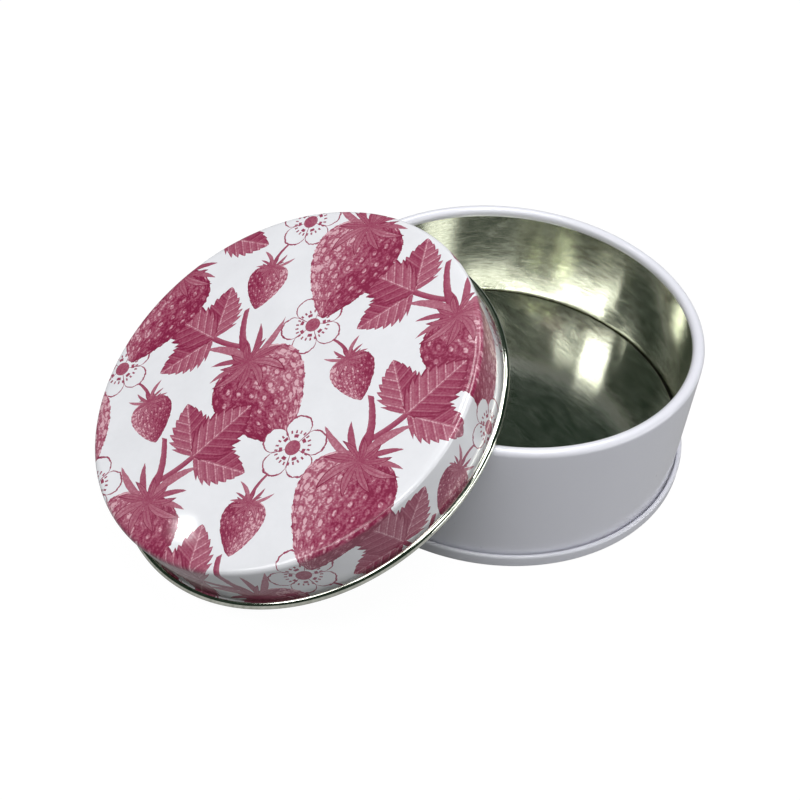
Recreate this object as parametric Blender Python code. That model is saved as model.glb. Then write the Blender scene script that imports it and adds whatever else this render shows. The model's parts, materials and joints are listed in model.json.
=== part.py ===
# Round slip-lid tin: a rolled body, a bottom seamed on to it and a drawn lid that leans on the open rim.
# Real sizes in metres, +Z up. The tin stands on the table at z = 0, and the origin is the centre of the
# footprint of both together. Every piece is one sheet of tinplate: its section is drawn as a line down the
# middle of the sheet, thickened to both sides and turned round the piece's own axis.

from math import ceil, cos, hypot, pi, radians, sin

import bmesh
import bpy
from mathutils import Matrix, Vector

MM = 0.001

# The sheet, and how finely round pieces are turned
SHEET = 0.25 * MM
TURN_STEPS = 72
POLE_MERGE = 0.00001

# The body: a straight wall with its top edge curled inwards
BODY_RADIUS = 40.0 * MM
BODY_HEIGHT = 30.8 * MM
RIM_CURL_RADIUS = 1.22 * MM
RIM_CURL_TURN = 295.0
WALL_MIDDLE = BODY_RADIUS - SHEET / 2

# The double seam that joins the bottom to the body: two hooks, one inside the other
SEAM_RADIUS = 41.3 * MM
SEAM_HEIGHT = 2.9 * MM
HOOK_BEND = (SEAM_RADIUS - BODY_RADIUS) / 3
BODY_HOOK_BOTTOM = 1.01 * MM
BODY_HOOK_TOP = 2.15 * MM
COVER_HOOK_END = 1.15 * MM
FOOT_BEND = 0.35 * MM
FOOT_OUTER_BEND = 0.45 * MM

# The bottom: a plug that stands up inside the wall and closes the tin with a flat panel
PLUG_GAP = 0.3 * MM
PANEL_HEIGHT = 7.0 * MM
PANEL_SHOULDER = 0.7 * MM

# The flat lock seam down the inside of the body's back
LOCK_SEAM_WIDTH = 4.2 * MM
LOCK_SEAM_DEPTH = 0.35 * MM
LOCK_SEAM_ANGLE = 165.0
LOCK_SEAM_LOW = 8.0 * MM
LOCK_SEAM_HIGH = 27.4 * MM

# The lid: a drawn cap with its edge curled outwards
LID_RADIUS = 40.8 * MM
LID_HEIGHT = 12.9 * MM
LID_CORNER = 1.5 * MM
LID_BEAD_RADIUS = 0.875 * MM
LID_BEAD_TURN = 295.0
SKIRT_MIDDLE = LID_RADIUS - SHEET / 2

# How the lid leans: its bead on the table and on two points of the rim
LEAN_TILT = 27.5
LEAN_DIRECTION = 208.5
REST_GAP = 0.3 * MM


def clear_scene():
    for thing in list(bpy.data.objects):
        bpy.data.objects.remove(thing, do_unlink=True)


def arc(centre_x, centre_z, radius, start, end, step=24.0):
    """Points on a circle from one angle to another, in degrees, no more than one step apart."""
    count = max(2, ceil(abs(end - start) / step))
    angles = [radians(start + (end - start) * i / count) for i in range(count + 1)]
    return [Vector((centre_x + radius * cos(a), centre_z + radius * sin(a))) for a in angles]


def without_repeats(points):
    kept = [points[0]]
    for point in points[1:]:
        if (point - kept[-1]).length > 0.02 * MM:
            kept.append(point)
    return kept


def sheet_section(middle, thickness, from_axis):
    """The outline of a sheet whose middle line is given: half the thickness to each side of it. A section
    that starts on the axis stays open there, and any other is a closed ring of points."""
    middle = without_repeats(middle)
    left_side = []
    right_side = []
    last = len(middle) - 1
    for i, point in enumerate(middle):
        before = (point - middle[i - 1]).normalized() if i > 0 else None
        after = (middle[i + 1] - point).normalized() if i < last else None
        if before is None:
            before = after
        if after is None:
            after = before
        along = (before + after).normalized()
        across = Vector((-along.y, along.x))
        half = thickness / 2 / max(0.5, across.dot(Vector((-before.y, before.x))))
        left_side.append(point + across * half)
        right_side.append(point - across * half)
    outline = left_side + right_side[::-1]
    if from_axis:
        outline[0].x = 0.0
        outline[-1].x = 0.0
    return outline


def runs_down_outside(outline):
    """Whether the outline goes round clockwise, which takes its outer side from top to bottom."""
    area = 0.0
    for a, b in zip(outline, outline[1:] + outline[:1]):
        area += a.x * b.y - b.x * a.y
    return area < 0


def turned_piece(name, middle, from_axis, material):
    """A sheet section turned round the Z axis by a Screw modifier."""
    outline = sheet_section(middle, SHEET, from_axis)
    if not runs_down_outside(outline):
        outline = outline[::-1]
    mesh = bpy.data.meshes.new(name)
    section = bmesh.new()
    points = [section.verts.new((p.x, 0.0, p.y)) for p in outline]
    for a, b in zip(points, points[1:]):
        section.edges.new((a, b))
    if not from_axis:
        section.edges.new((points[-1], points[0]))
    section.to_mesh(mesh)
    section.free()
    piece = bpy.data.objects.new(name, mesh)
    bpy.context.scene.collection.objects.link(piece)
    turn = piece.modifiers.new("turned round the axis", 'SCREW')
    turn.axis = 'Z'
    turn.angle = 2 * pi
    turn.steps = TURN_STEPS
    turn.render_steps = TURN_STEPS
    turn.use_merge_vertices = True
    turn.merge_threshold = POLE_MERGE
    turn.use_smooth_shade = True
    mesh.materials.append(material)
    return piece


def body_middle():
    """From the body hook's tip, round under the wall, up the wall and round the rim's curl."""
    curl_x = BODY_RADIUS - RIM_CURL_RADIUS
    curl_z = BODY_HEIGHT - RIM_CURL_RADIUS
    curl_bend = RIM_CURL_RADIUS - SHEET / 2
    hook_x = WALL_MIDDLE + HOOK_BEND
    tip = [Vector((WALL_MIDDLE + 2 * HOOK_BEND, BODY_HOOK_TOP))]
    hook = arc(hook_x, BODY_HOOK_BOTTOM, HOOK_BEND, 0.0, -180.0, 36.0)
    curl = arc(curl_x, curl_z, curl_bend, 0.0, RIM_CURL_TURN, 23.0)
    return tip + hook + curl


def bottom_middle():
    """From the axis over the panel, down the plug's wall, under the foot, up the seam and into the cover
    hook."""
    plug_x = BODY_RADIUS - SHEET - PLUG_GAP - SHEET / 2
    panel_z = PANEL_HEIGHT - SHEET / 2
    foot_z = SHEET / 2
    seam_x = SEAM_RADIUS - SHEET / 2
    top_bend_z = SEAM_HEIGHT - SHEET / 2 - HOOK_BEND
    panel = [Vector((0.0, panel_z))]
    shoulder = arc(plug_x - PANEL_SHOULDER, panel_z - PANEL_SHOULDER, PANEL_SHOULDER, 90.0, 0.0, 30.0)
    foot_in = arc(plug_x + FOOT_BEND, foot_z + FOOT_BEND, FOOT_BEND, 180.0, 270.0, 45.0)
    foot_out = arc(seam_x - FOOT_OUTER_BEND, foot_z + FOOT_OUTER_BEND, FOOT_OUTER_BEND, 270.0, 360.0, 45.0)
    fold = arc(seam_x - HOOK_BEND, top_bend_z, HOOK_BEND, 0.0, 180.0, 36.0)
    tip = [Vector((seam_x - 2 * HOOK_BEND, COVER_HOOK_END))]
    return panel + shoulder + foot_in + foot_out + fold + tip


def lid_middle():
    """In the lid's own frame, with its bead standing on z = 0: over the top, round the corner, down the
    skirt and round the bead."""
    top_z = LID_HEIGHT - SHEET / 2
    corner_bend = LID_CORNER - SHEET / 2
    bead_bend = LID_BEAD_RADIUS - SHEET / 2
    top = [Vector((0.0, top_z))]
    corner = arc(SKIRT_MIDDLE - corner_bend, top_z - corner_bend, corner_bend, 90.0, 0.0, 22.5)
    bead = arc(SKIRT_MIDDLE + bead_bend, LID_BEAD_RADIUS, bead_bend, 180.0, 180.0 + LID_BEAD_TURN, 25.0)
    return top + corner + bead


def lowest_over_table(tilt):
    """How far the lid's origin stands over the table when its bead touches it: the deepest that any point
    of the section reaches on the low side."""
    outline = sheet_section(lid_middle(), SHEET, True)
    return max(p.x * sin(tilt) - p.y * cos(tilt) for p in outline)


def gap_to_rim(shift, tilt):
    """The gap between the lid's bead and the rim's curl when the lid's origin is that far from the tin's
    axis: the nearest that the bead's middle circle comes to the curl's, less both tubes."""
    rim_x = BODY_RADIUS - RIM_CURL_RADIUS
    rim_z = BODY_HEIGHT - RIM_CURL_RADIUS
    bead_x = LID_RADIUS + LID_BEAD_RADIUS - SHEET
    lid_z = lowest_over_table(tilt)
    nearest = 1.0
    for i in range(721):
        angle = pi * i / 720
        along = bead_x * cos(angle)
        x = -shift + along * cos(tilt) - LID_BEAD_RADIUS * sin(tilt)
        y = bead_x * sin(angle)
        z = lid_z + along * sin(tilt) + LID_BEAD_RADIUS * cos(tilt)
        nearest = min(nearest, hypot(hypot(x, y) - rim_x, z - rim_z))
    return nearest - RIM_CURL_RADIUS - LID_BEAD_RADIUS


def resting_shift(tilt):
    """The distance from the tin's axis to the lid's origin at which the bead rests on the rim, found by
    halving between a lid that is clear and one that is too far in."""
    far = 1.4 * BODY_RADIUS
    near = 0.9 * BODY_RADIUS
    for _ in range(24):
        middle = (far + near) / 2
        if gap_to_rim(middle, tilt) > REST_GAP:
            far = middle
        else:
            near = middle
    return far


def footprint_centre(lid_x, lid_y, turn):
    """The centre of the box round both pieces, seen from above, measured from the tin's axis."""
    lows = []
    highs = []
    outline = sheet_section(lid_middle(), SHEET, True)
    for axis in range(2):
        reach = [SEAM_RADIUS, -SEAM_RADIUS]
        for i in range(TURN_STEPS):
            angle = 2 * pi * i / TURN_STEPS
            for p in outline:
                if p.x < 0.9 * LID_RADIUS:
                    continue
                place = turn @ Vector((p.x * cos(angle), p.x * sin(angle), p.y))
                reach.append(place[axis] + (lid_x, lid_y)[axis])
        lows.append(min(reach))
        highs.append(max(reach))
    return (lows[0] + highs[0]) / 2, (lows[1] + highs[1]) / 2


def painted(name, colour, roughness, metallic):
    material = bpy.data.materials.new(name)
    material.use_nodes = True
    surface = material.node_tree.nodes["Principled BSDF"]
    surface.inputs["Base Color"].default_value = (*colour, 1.0)
    surface.inputs["Roughness"].default_value = roughness
    surface.inputs["Metallic"].default_value = metallic
    return material


def lock_seam_strip(material):
    """The folded strip of the side seam, a little sunk into the wall so that the two join."""
    inner = BODY_RADIUS - SHEET
    middle_radius = inner - LOCK_SEAM_DEPTH / 2 + 0.05 * MM
    bpy.ops.mesh.primitive_cube_add(size=1.0)
    strip = bpy.context.object
    strip.name = "lock_seam_fold"
    size = (LOCK_SEAM_DEPTH + 0.1 * MM, LOCK_SEAM_WIDTH, LOCK_SEAM_HIGH - LOCK_SEAM_LOW)
    strip.data.transform(Matrix.Diagonal((*size, 1.0)))
    strip.data.transform(Matrix.Translation((middle_radius, 0.0, (LOCK_SEAM_HIGH + LOCK_SEAM_LOW) / 2)))
    strip.data.transform(Matrix.Rotation(radians(LOCK_SEAM_ANGLE), 4, 'Z'))
    strip.data.materials.append(material)
    strip.hide_render = True
    strip.display_type = 'WIRE'
    return strip


def shade_round(piece):
    piece.data.shade_smooth()
    piece.data.set_sharp_from_angle(angle=radians(40.0))


def main():
    clear_scene()
    white_lacquer = painted("white lacquered tinplate", (0.86, 0.86, 0.88), 0.32, 0.0)
    bottom_lacquer = painted("lacquered bottom sheet", (0.80, 0.80, 0.82), 0.34, 0.0)
    printed_lid = painted("printed lid sheet", (0.62, 0.30, 0.38), 0.28, 0.0)

    tilt = radians(LEAN_TILT)
    direction = radians(LEAN_DIRECTION)
    shift = resting_shift(tilt)
    # The lid's own +X is the low side, turned to face away from the tin
    lid_turn = Matrix.Rotation(direction, 4, 'Z') @ Matrix.Rotation(tilt, 4, 'Y')
    lid_x = shift * cos(direction)
    lid_y = shift * sin(direction)
    centre_x, centre_y = footprint_centre(lid_x, lid_y, lid_turn)

    tin_place = bpy.data.objects.new("tin_place", None)
    tin_place.location = (-centre_x, -centre_y, 0.0)
    lid_place = bpy.data.objects.new("lid_place", None)
    lid_place.location = (lid_x - centre_x, lid_y - centre_y, lowest_over_table(tilt))
    lid_place.rotation_euler = lid_turn.to_euler()
    for place in (tin_place, lid_place):
        place.empty_display_size = 0.02
        bpy.context.scene.collection.objects.link(place)

    body_shell = turned_piece("body_shell", body_middle(), False, white_lacquer)
    strip = lock_seam_strip(white_lacquer)
    join = body_shell.modifiers.new("lock seam joined on", 'BOOLEAN')
    join.operation = 'UNION'
    join.solver = 'EXACT'
    join.object = strip
    bottom_end = turned_piece("bottom_end", bottom_middle(), True, bottom_lacquer)
    lid = turned_piece("lid", lid_middle(), True, printed_lid)

    for piece in (body_shell, bottom_end, strip):
        piece.parent = tin_place
    lid.parent = lid_place
    for piece in (body_shell, bottom_end, lid):
        shade_round(piece)

    bpy.context.view_layer.update()
    print("tin's axis (mm):", [round(v / MM, 3) for v in tin_place.location])
    print("lid's origin (mm):", [round(v / MM, 3) for v in lid_place.location])
    lid_axis = lid_place.matrix_world.to_3x3() @ Vector((0.0, 0.0, 1.0))
    print("lid's axis:", [round(v, 5) for v in lid_axis])
    print("gap at the rim (mm):", round(gap_to_rim(shift, tilt) / MM, 3))


main()
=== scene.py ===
# %% [markdown]
# # A round tin with its lid leaning on the rim
#
# The object is a small tinplate tin. Its wall is rolled from one sheet and curled in at the rim, its bottom
# is seamed on, and its lid is drawn from one disc, printed before it was drawn and curled out at the edge.
# Everything is a sheet turned round an axis, so the whole lesson is about three things: drawing a sheet's
# section, turning it into a mesh with whole numpy arrays, and giving each side of the sheet its own finish.

import json
from math import ceil, cos, pi, radians, sin, tan

import bpy
import numpy as np
from mathutils import Matrix, Vector

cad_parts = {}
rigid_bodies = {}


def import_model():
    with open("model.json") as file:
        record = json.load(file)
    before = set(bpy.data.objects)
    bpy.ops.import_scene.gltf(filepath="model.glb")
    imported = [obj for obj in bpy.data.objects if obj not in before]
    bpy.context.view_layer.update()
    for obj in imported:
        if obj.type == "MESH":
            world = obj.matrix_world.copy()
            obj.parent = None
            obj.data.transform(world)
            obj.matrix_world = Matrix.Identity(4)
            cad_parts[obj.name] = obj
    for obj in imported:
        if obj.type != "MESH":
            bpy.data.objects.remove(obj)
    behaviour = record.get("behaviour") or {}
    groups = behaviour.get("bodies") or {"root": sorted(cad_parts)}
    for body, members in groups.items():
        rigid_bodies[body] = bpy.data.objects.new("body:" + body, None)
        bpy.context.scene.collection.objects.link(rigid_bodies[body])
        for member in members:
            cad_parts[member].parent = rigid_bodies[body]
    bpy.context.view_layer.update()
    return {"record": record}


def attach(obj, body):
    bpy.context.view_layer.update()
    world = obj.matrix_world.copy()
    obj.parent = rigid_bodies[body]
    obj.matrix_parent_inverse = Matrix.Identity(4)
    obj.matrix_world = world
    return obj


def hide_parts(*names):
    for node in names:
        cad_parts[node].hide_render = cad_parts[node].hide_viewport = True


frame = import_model()
MM = 0.001

# %% [markdown]
# ## Where the pieces stand
#
# The record says where the tin's floor and the lid's top are, so the finer pieces are placed from these
# two points. The tin stands upright. The lid has its own frame: its middle on the plane of its
# curled edge, +Z out through its top, and +X towards its low side, which rests on the table.

# %% The tin's axis and the lid's frame
BODY_RADIUS = 40.0 * MM
LID_HEIGHT = 12.9 * MM
mounts = {mount["name"]: mount for mount in frame["record"]["mounts"]}
tin_middle = np.array(mounts["tin_floor"]["pos_m"]) * (1, 1, 0)
lid_up = np.array(mounts["lid_top"]["axis"], float)
lid_up /= np.linalg.norm(lid_up)
lid_middle_point = np.array(mounts["lid_top"]["pos_m"]) - LID_HEIGHT * lid_up
lean = np.hypot(lid_up[0], lid_up[1])
lid_downhill = np.array([lid_up[0] / lean * lid_up[2], lid_up[1] / lean * lid_up[2], -lean])
lid_turn = np.stack([lid_downhill, np.cross(lid_up, lid_downhill), lid_up], 1)
print("the lid leans by", round(float(np.degrees(np.arcsin(lean))), 2), "degrees")


def on_the_tin(points):
    """The tin's own points, moved by the place of its axis."""
    return points + tin_middle


def on_the_lid(points):
    """The lid's own points, turned by the lid's three axes and moved to its middle."""
    return points @ lid_turn.T + lid_middle_point


# %% [markdown]
# ## A sheet's section
#
# On the real tin each piece is one sheet, 0.25 mm thick, bent in rollers and dies. So its section is drawn
# the same way: a line of bends down the middle of the sheet, and then one face to each side of it. It could
# be drawn as an outline at once, but then a curl's inside and outside would drift apart.

# %% Bends, and the two faces of a sheet
SHEET = 0.25 * MM
DEGREES_TO_A_STEP = 9.0
STEPS_AT_LEAST = 3
SHARPEST_CORNER = 0.5


def bend(centre, radius, start, end):
    """An arc from one angle to another: the centre plus radius times (cosine, sine)."""
    count = max(STEPS_AT_LEAST, ceil(abs(end - start) / DEGREES_TO_A_STEP))
    angles = np.radians(np.linspace(start, end, count + 1))
    return np.stack([centre[0] + radius * np.cos(angles), centre[1] + radius * np.sin(angles)], 1)


def straight(start, end, count):
    """Points at even steps between two ends, without the ends themselves."""
    return np.linspace(start, end, count + 2)[1:-1]


def both_faces(line):
    """The sheet's left and right face: each point of the middle line plus or minus half the sheet along its
    normal. In a bend that is divided by the cosine of half the turn, so that the thickness stays."""
    steps = np.diff(line, axis=0)
    steps /= np.linalg.norm(steps, axis=1)[:, None]
    before = np.vstack([steps[:1], steps])
    after = np.vstack([steps, steps[-1:]])
    along = before + after
    along /= np.linalg.norm(along, axis=1)[:, None]
    normal = np.stack([-along[:, 1], along[:, 0]], 1)
    cosine = normal[:, 1] * before[:, 0] - normal[:, 0] * before[:, 1]
    half = (SHEET / 2 / np.maximum(SHARPEST_CORNER, cosine))[:, None]
    return line + normal * half, line - normal * half


print("a quarter bend takes", len(bend((0.0, 0.0), 1.0, 0.0, 90.0)), "points")

# %% [markdown]
# ## Turning a section into a mesh
#
# A lathe or a Screw modifier would turn a section too. Worked out with numpy, the whole grid of points is
# one product of two arrays, so single columns can still be moved before the mesh is made, which the lock
# seam needs. The columns stand closer together there. A section that starts on the axis is closed with one
# shared point and a fan of triangles.

# %% The grid of a turned sheet, and its mesh
COLUMNS = 360
SHARP_EDGE = 38.0


def turned_grid(outline, angles):
    """Points of a turned outline, one row for each of its points: (r cos a, r sin a, z)."""
    r = outline[:, :1]
    z = np.repeat(outline[:, 1:], len(angles), axis=1)
    return np.stack([r * np.cos(angles), r * np.sin(angles), z], -1)


def mesh_from_rows(name, grid, finishes, closed, place, materials):
    """A mesh from a grid of rows by columns. Columns always close round. Rows close too, or else the first
    and last row lie on the axis and become one point each. Finishes says each band's material by number."""
    rows, columns = grid.shape[:2]
    index = np.arange(rows * columns).reshape(rows, columns)
    if not closed:
        index[0] = index[0, 0]
        index[-1] = index[-1, 0]
    upper = index if closed else index[:-1]
    lower = np.roll(index, -1, 0) if closed else index[1:]
    quads = np.stack([upper, lower, np.roll(lower, -1, 1), np.roll(upper, -1, 1)], -1).reshape(-1, 4)
    band = np.repeat(finishes, columns)
    first_fan = quads[:, 0] == quads[:, 3]
    last_fan = quads[:, 1] == quads[:, 2]
    whole = ~(first_fan | last_fan)
    triangles = np.vstack([quads[first_fan][:, [0, 1, 2]], quads[last_fan][:, [0, 1, 3]]])
    triangle_band = np.concatenate([band[first_fan], band[last_fan]])
    used = np.unique(np.concatenate([quads[whole].ravel(), triangles.ravel()]))
    number = np.zeros(rows * columns, int)
    number[used] = np.arange(len(used))
    points = place(grid.reshape(-1, 3)[used])
    faces = number[quads[whole]].tolist() + number[triangles].tolist()
    mesh = bpy.data.meshes.new(name)
    mesh.from_pydata(points.tolist(), [], faces)
    for material in materials:
        mesh.materials.append(material)
    slots = np.concatenate([band[whole], triangle_band]).astype(np.int32)
    mesh.polygons.foreach_set("material_index", slots)
    mesh.shade_smooth()
    mesh.set_sharp_from_angle(angle=radians(SHARP_EDGE))
    mesh.update()
    piece = bpy.data.objects.new(name, mesh)
    bpy.context.scene.collection.objects.link(piece)
    print(name, "has", sum(len(f) - 2 for f in faces), "triangles")
    return piece, used


# %% [markdown]
# ## Numbers on their way through a shader
#
# The print and the metal's grain are patterns worked out from coordinates. Math nodes do that, but a formula
# of fifty nodes is hard to read as fifty calls. So one small class carries a socket and adds a node for each
# plus, times or sine, and a pattern can be written as the formula that it is.

# %% A wire carries one number from node to node
NODES_IN_A_STACK = 14
NODE_WIDTH = 180.0
NODE_HEIGHT = 150.0
# a Mix node has sockets for each kind of value, and these are the numbers of the colour ones
MIX_FIRST, MIX_SECOND, MIX_RESULT = 6, 7, 2


class Wire:
    """One number in a shader. Each sum, product or function of wires adds one node to the same tree."""

    def __init__(self, tree, socket):
        self.tree = tree
        self.socket = socket

    def node(self, kind, **settings):
        """A new node, put below or beside the ones before it."""
        count = len(self.tree.nodes)
        made = self.tree.nodes.new(kind)
        made.location = (count // NODES_IN_A_STACK * NODE_WIDTH, -(count % NODES_IN_A_STACK) * NODE_HEIGHT)
        for key, value in settings.items():
            setattr(made, key, value)
        return made

    def plug(self, socket, value):
        """A wire is linked to the socket, and a plain number is written in it."""
        if isinstance(value, Wire):
            self.tree.links.new(value.socket, socket)
        else:
            socket.default_value = value

    def maths(self, operation, *numbers):
        """One Math node with these numbers or wires plugged in."""
        made = self.node("ShaderNodeMath", operation=operation)
        for socket, value in zip(made.inputs, numbers):
            self.plug(socket, value)
        return Wire(self.tree, made.outputs[0])

    def __add__(self, other):
        return self.maths('ADD', self, other)

    def __sub__(self, other):
        return self.maths('SUBTRACT', self, other)

    def __rsub__(self, other):
        return self.maths('SUBTRACT', other, self)

    def __mul__(self, other):
        return self.maths('MULTIPLY', self, other)

    def __truediv__(self, other):
        return self.maths('DIVIDE', self, other)

    def __pow__(self, other):
        return self.maths('POWER', self, other)

    def size(self):
        return self.maths('ABSOLUTE', self)

    def floor(self):
        return self.maths('FLOOR', self)

    def part(self):
        """What is left above the next whole number below."""
        return self.maths('FRACT', self)

    def sine(self):
        return self.maths('SINE', self)

    def cosine(self):
        return self.maths('COSINE', self)

    def arcsine(self):
        return self.maths('ARCSINE', self)

    def root(self):
        return self.maths('SQRT', self)

    def least(self, other):
        return self.maths('MINIMUM', self, other)

    def most(self, other):
        return self.maths('MAXIMUM', self, other)

    def above(self, other):
        """1 where it is greater than the other, else 0."""
        return self.maths('GREATER_THAN', self, other)

    def angle_to(self, other):
        """The angle whose tangent is this over the other."""
        return self.maths('ARCTAN2', self, other)

    def kept(self, low, high):
        """The same number, but not below low or above high."""
        return self.least(high).most(low)

    def smooth(self, low, high):
        """Rises smoothly from 0 at low to 1 at high."""
        made = self.node("ShaderNodeMapRange", interpolation_type='SMOOTHSTEP')
        for socket, value in zip(made.inputs, (self, low, high, 0.0, 1.0)):
            self.plug(socket, value)
        return Wire(self.tree, made.outputs[0])

    def chance(self):
        """A random number from 0 to 1 that stays the same for the same whole number."""
        made = self.node("ShaderNodeTexWhiteNoise", noise_dimensions='1D')
        self.plug(made.inputs["W"], self)
        return Wire(self.tree, made.outputs["Value"])

    def joined(self, y, z=0.0):
        """A vector of this and two others."""
        made = self.node("ShaderNodeCombineXYZ")
        for socket, value in zip(made.inputs, (self, y, z)):
            self.plug(socket, value)
        return Wire(self.tree, made.outputs[0])

    def cloud(self, scale, detail=2.0):
        """Noise at this vector, about 0 and nearly always between -0.5 and 0.5."""
        made = self.node("ShaderNodeTexNoise")
        self.plug(made.inputs["Vector"], self)
        made.inputs["Scale"].default_value = scale
        made.inputs["Detail"].default_value = detail
        return Wire(self.tree, made.outputs[0]) - 0.5

    def split(self):
        """The three numbers of this vector."""
        made = self.node("ShaderNodeSeparateXYZ")
        self.plug(made.inputs[0], self)
        return [Wire(self.tree, socket) for socket in made.outputs]

    def colour(self, stops):
        """A colour ramp over this number. Each stop is a place from 0 to 1 and a colour as on a screen."""
        made = self.node("ShaderNodeValToRGB")
        ramp = made.color_ramp
        while len(ramp.elements) < len(stops):
            ramp.elements.new(0.5)
        for element, (place, screen) in zip(ramp.elements, stops):
            element.position = place
            element.color = (*as_light(screen), 1.0)
        self.plug(made.inputs[0], self)
        return Wire(self.tree, made.outputs[0])

    def blended(self, first, second):
        """From the first colour to the second as this number goes from 0 to 1."""
        made = self.node("ShaderNodeMix", data_type='RGBA')
        self.plug(made.inputs[0], self)
        self.plug(made.inputs[MIX_FIRST], first)
        self.plug(made.inputs[MIX_SECOND], second)
        return Wire(self.tree, made.outputs[MIX_RESULT])

    def bump(self, depth, under=None):
        """A bump of that many metres for each unit of this height."""
        made = self.node("ShaderNodeBump")
        made.inputs["Strength"].default_value = 1.0
        made.inputs["Distance"].default_value = depth
        self.plug(made.inputs["Height"], self)
        if under is not None:
            self.plug(made.inputs["Normal"], under)
        return Wire(self.tree, made.outputs[0])


# %% Colours as amounts of light, and a new finish
def as_light(screen):
    """The amount of light of a colour given in screen steps from 0 to 255: each step over 255, to the power
    2.4 after a small offset, and a straight line near black."""
    return [s / 12.92 if s < 0.04045 else ((s + 0.055) / 1.055) ** 2.4 for s in (v / 255 for v in screen)]


def new_finish(name):
    """A material with its main shader, and a wire with the object's own coordinates in millimetres."""
    material = bpy.data.materials.new(name)
    material.use_nodes = True
    tree = material.node_tree
    shader = tree.nodes["Principled BSDF"]
    shader.location = (-NODE_WIDTH, NODE_HEIGHT)
    where = tree.nodes.new("ShaderNodeTexCoord")
    scaled = tree.nodes.new("ShaderNodeVectorMath")
    scaled.operation = 'SCALE'
    scaled.inputs["Scale"].default_value = 1 / MM
    tree.links.new(where.outputs["Object"], scaled.inputs[0])
    return material, shader, Wire(tree, scaled.outputs[0])


def link(shader, name, wire):
    """The wire goes into the shader's input of that name."""
    wire.tree.links.new(wire.socket, shader.inputs[name])


print("a screen grey of 128 is", round(as_light([128])[0], 3), "of white's light")

# %% [markdown]
# ## White lacquer
#
# The outside of the tin is roller-coated white lacquer, stoved on to the sheet before it is bent. It is a
# smooth, slightly blue white with a faint orange peel, a few dust specks and a gloss from the surface of
# the lacquer. A white picture could be wrapped round it, but noise in the shader has no seam and gives the
# patches, the gloss and the peel at their real size.

# %% White lacquer
SPECK_GREY = (*as_light((70, 68, 72)), 1.0)
GLOSS_IOR = 1.5
PATCH_STEPS = 4


def specks_on(where, spacing, share, radius):
    """Small round specks, in millimetres: the middles of a Voronoi pattern's cells, where the cell's random
    number is high enough. 1 on a speck, else 0."""
    made = where.node("ShaderNodeTexVoronoi")
    where.plug(made.inputs["Vector"], where)
    made.inputs["Scale"].default_value = 1 / spacing
    distance = Wire(where.tree, made.outputs["Distance"])
    picked = Wire(where.tree, made.outputs["Color"]).split()[0]
    return (radius / spacing - distance).above(0.0) * picked.above(1.0 - share)


def orange_peel(where, coarse, fine, depth):
    """A bump from coarse noise and a little fine noise, each with that many waves to a millimetre."""
    return (where.cloud(coarse, 1.0) + where.cloud(fine, 1.0) * 0.12).bump(depth)


def white_lacquer(name, white, roughness):
    """Lacquer whose white, gloss and surface all vary a little by noise, with specks of two sizes."""
    material, shader, where = new_finish(name)
    specks = specks_on(where, spacing=7.0, share=0.12, radius=0.16)
    dust = specks_on(where, spacing=2.9, share=0.10, radius=0.07)
    clean = (where.cloud(0.09) + 0.5).colour([(0.0, [v - PATCH_STEPS for v in white]), (1.0, white)])
    link(shader, "Base Color", specks.most(dust * 0.5).blended(clean, SPECK_GREY))
    link(shader, "Roughness", where.cloud(0.4) * 0.10 + roughness)
    link(shader, "Normal", orange_peel(where, 0.75, 3.2, 0.012 * MM))
    shader.inputs["IOR"].default_value = GLOSS_IOR
    shader.inputs["Coat Weight"].default_value = 0.5
    shader.inputs["Coat Roughness"].default_value = 0.05
    return material


WALL_WHITE = (232, 232, 241)
wall_lacquer = white_lacquer("white lacquer on the wall", WALL_WHITE, 0.30)
bottom_lacquer = white_lacquer("white lacquer on the bottom", WALL_WHITE, 0.32)
print("white lacquer takes", len(wall_lacquer.node_tree.nodes), "nodes")

# %% [markdown]
# ## Bare tinplate
#
# Inside, the sheet is bare: steel with a thin coat of tin, warm and a little green, that mirrors its
# surroundings softly. The rollers of the mill leave a fine grain in one direction. On the wall the sheet is
# bent so that the grain runs round, and on the flat pieces it runs straight across. It is far too fine to
# model, so the shader's anisotropy draws reflections out across it. What can be seen of it is noise that is
# stretched along the grain: fine hairlines, short streaks and soft blotches. The lid's inside and bead take
# less of it, because drawing and curling polish the sheet.

# %% Bare tinplate with its grain
TIN_TINT = ((0.0, (182, 184, 170)), (0.5, (223, 225, 212)), (1.0, (248, 249, 238)))
STREAK_CELLS = (0.30, 1.35)
HAIRLINE_CELLS = (0.90, 3.40)
BLOTCH_CELLS = (0.22, 0.50)
WAVE_CELLS = 0.11
WAVE_DEPTH = 0.06 * MM


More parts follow.
